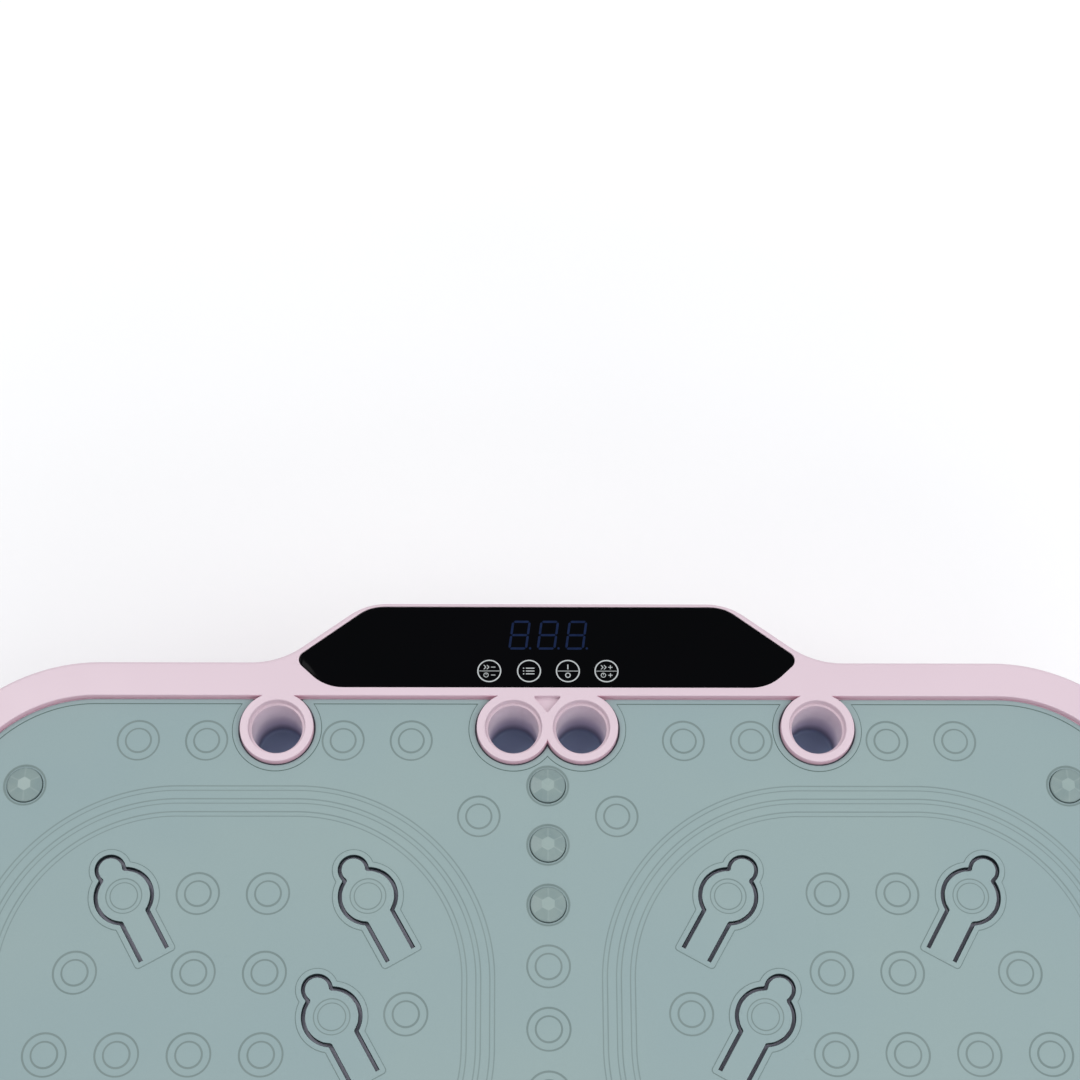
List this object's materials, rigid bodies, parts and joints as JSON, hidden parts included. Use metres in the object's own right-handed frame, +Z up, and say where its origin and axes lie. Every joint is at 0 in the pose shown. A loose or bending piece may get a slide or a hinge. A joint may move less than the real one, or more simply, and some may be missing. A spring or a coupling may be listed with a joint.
{
  "type": "vibration plate",
  "caption": "Slim side-alternating vibration plate with a soft standing mat, a rear display panel, peg sockets, lifting keyhole flaps and an eccentric belt drive inside.",
  "frame": {"origin": "on the floor, under the centre of the overall box", "axes": "+X along the long side, +Y towards the display end, +Z up"},
  "size_m": [0.558, 0.3446, 0.13],
  "materials": {
    "shell": "moulded ABS, satin gloss, pale pink",
    "pan": "moulded ABS, fine texture, pale pink",
    "soft": "soft silicone, matt, grey green with printed and raised lines",
    "stone": "translucent faceted resin, pale grey",
    "lens": "polished black acrylic",
    "led": "dark LED face",
    "board": "green solder mask",
    "foot": "moulded rubber",
    "steel": "rolled and turned steel",
    "zinc": "zinc-plated pressed steel",
    "alloy": "die-cast alloy",
    "motor": "dark painted can",
    "bronze": "sintered bronze",
    "belt": "black toothed rubber belt",
    "black": "black moulded nylon"
  },
  "bodies": {
    "base": {"base_pan": "pan", "chassis_plate": "steel", "foot_1": "foot", "foot_2": "foot", "foot_3": "foot", "foot_4": "foot", "foot_bolt_1": "steel", "foot_bolt_2": "steel", "foot_bolt_3": "steel", "foot_bolt_4": "steel", "pivot_block_front": "alloy", "pivot_block_rear": "alloy", "motor_body": "motor", "motor_bracket": "zinc", "crank_block_front": "alloy", "crank_block_rear": "alloy", "control_board": "board", "power_inlet": "black", "switch_bezel": "black", "drive_belt": "belt"},
    "deck": {"top_shell": "shell", "deck_plate": "steel", "pivot_bracket_front": "zinc", "pivot_bracket_rear": "zinc", "pivot_pin_front": "steel", "pivot_pin_rear": "steel", "rod_bracket": "zinc", "rod_pin": "steel", "mat": "soft", "display_lens": "lens", "display_board": "board", "led_module": "led", "stone_1": "stone", "stone_2": "stone", "stone_3": "stone", "stone_4": "stone", "stone_5": "stone", "stone_6": "stone", "stone_7": "stone", "stone_8": "stone", "stone_9": "stone", "stone_10": "stone"},
    "rotor": {"motor_shaft": "steel", "motor_pulley": "alloy"},
    "crank": {"crank_shaft": "steel", "crank_pulley": "alloy"},
    "rod": {"connecting_rod": "alloy", "rod_bearing": "bronze"},
    "switch": {"rocker_switch": "black"},
    "flap_1": {"flap_1": "soft"},
    "flap_2": {"flap_2": "soft"},
    "flap_3": {"flap_3": "soft"},
    "flap_4": {"flap_4": "soft"},
    "flap_5": {"flap_5": "soft"},
    "flap_6": {"flap_6": "soft"},
    "flap_7": {"flap_7": "soft"},
    "flap_8": {"flap_8": "soft"},
    "flap_9": {"flap_9": "soft"},
    "flap_10": {"flap_10": "soft"}
  },
  "joints": [
    {"name": "deck_rock", "type": "hinge", "parent": "base", "child": "deck", "pos_m": [0, -0.01425, 0.058], "axis": [0, 1, 0], "range_deg": [-1.15, 1.15]},
    {"name": "crank_spin", "type": "hinge", "parent": "base", "child": "crank", "pos_m": [0.105, -0.01425, 0.045], "axis": [0, 1, 0], "continuous": true},
    {"name": "motor_spin", "type": "hinge", "parent": "base", "child": "rotor", "pos_m": [-0.07, -0.01425, 0.049], "axis": [0, 1, 0], "continuous": true},
    {"name": "rod_swing", "type": "hinge", "parent": "crank", "child": "rod", "pos_m": [0.107, -0.01425, 0.045], "axis": [0, 1, 0], "continuous": true},
    {"name": "switch_rock", "type": "hinge", "parent": "base", "child": "switch", "pos_m": [0.026, 0.15925, 0.038], "axis": [-1, 0, 0], "range_deg": [0, 14]},
    {"name": "flap_lift_01", "type": "hinge", "parent": "deck", "child": "flap_1", "pos_m": [-0.16702, 0.01116, 0.127], "axis": [0.8704, 0.4924, 0], "range_deg": [0, 80]},
    {"name": "flap_lift_02", "type": "hinge", "parent": "deck", "child": "flap_2", "pos_m": [-0.06272, 0.01116, 0.127], "axis": [0.8704, 0.4924, 0], "range_deg": [0, 80]},
    {"name": "flap_lift_03", "type": "hinge", "parent": "deck", "child": "flap_3", "pos_m": [-0.07652, -0.04104, 0.127], "axis": [0.8704, 0.4924, 0], "range_deg": [0, 80]},
    {"name": "flap_lift_04", "type": "hinge", "parent": "deck", "child": "flap_4", "pos_m": [-0.16702, -0.09324, 0.127], "axis": [0.8704, 0.4924, 0], "range_deg": [0, 80]},
    {"name": "flap_lift_05", "type": "hinge", "parent": "deck", "child": "flap_5", "pos_m": [-0.06272, -0.09324, 0.127], "axis": [0.8704, 0.4924, 0], "range_deg": [0, 80]},
    {"name": "flap_lift_06", "type": "hinge", "parent": "deck", "child": "flap_6", "pos_m": [0.16702, 0.01116, 0.127], "axis": [0.8704, -0.4924, 0], "range_deg": [0, 80]},
    {"name": "flap_lift_07", "type": "hinge", "parent": "deck", "child": "flap_7", "pos_m": [0.06272, 0.01116, 0.127], "axis": [0.8704, -0.4924, 0], "range_deg": [0, 80]},
    {"name": "flap_lift_08", "type": "hinge", "parent": "deck", "child": "flap_8", "pos_m": [0.07652, -0.04104, 0.127], "axis": [0.8704, -0.4924, 0], "range_deg": [0, 80]},
    {"name": "flap_lift_09", "type": "hinge", "parent": "deck", "child": "flap_9", "pos_m": [0.16702, -0.09324, 0.127], "axis": [0.8704, -0.4924, 0], "range_deg": [0, 80]},
    {"name": "flap_lift_10", "type": "hinge", "parent": "deck", "child": "flap_10", "pos_m": [0.06272, -0.09324, 0.127], "axis": [0.8704, -0.4924, 0], "range_deg": [0, 80]}
  ],
  "couplings": [
    {"joint": "motor_spin", "follows": "crank_spin", "ratio": 3},
    {"joint": "rod_swing", "follows": "crank_spin", "ratio": -1}
  ]
}
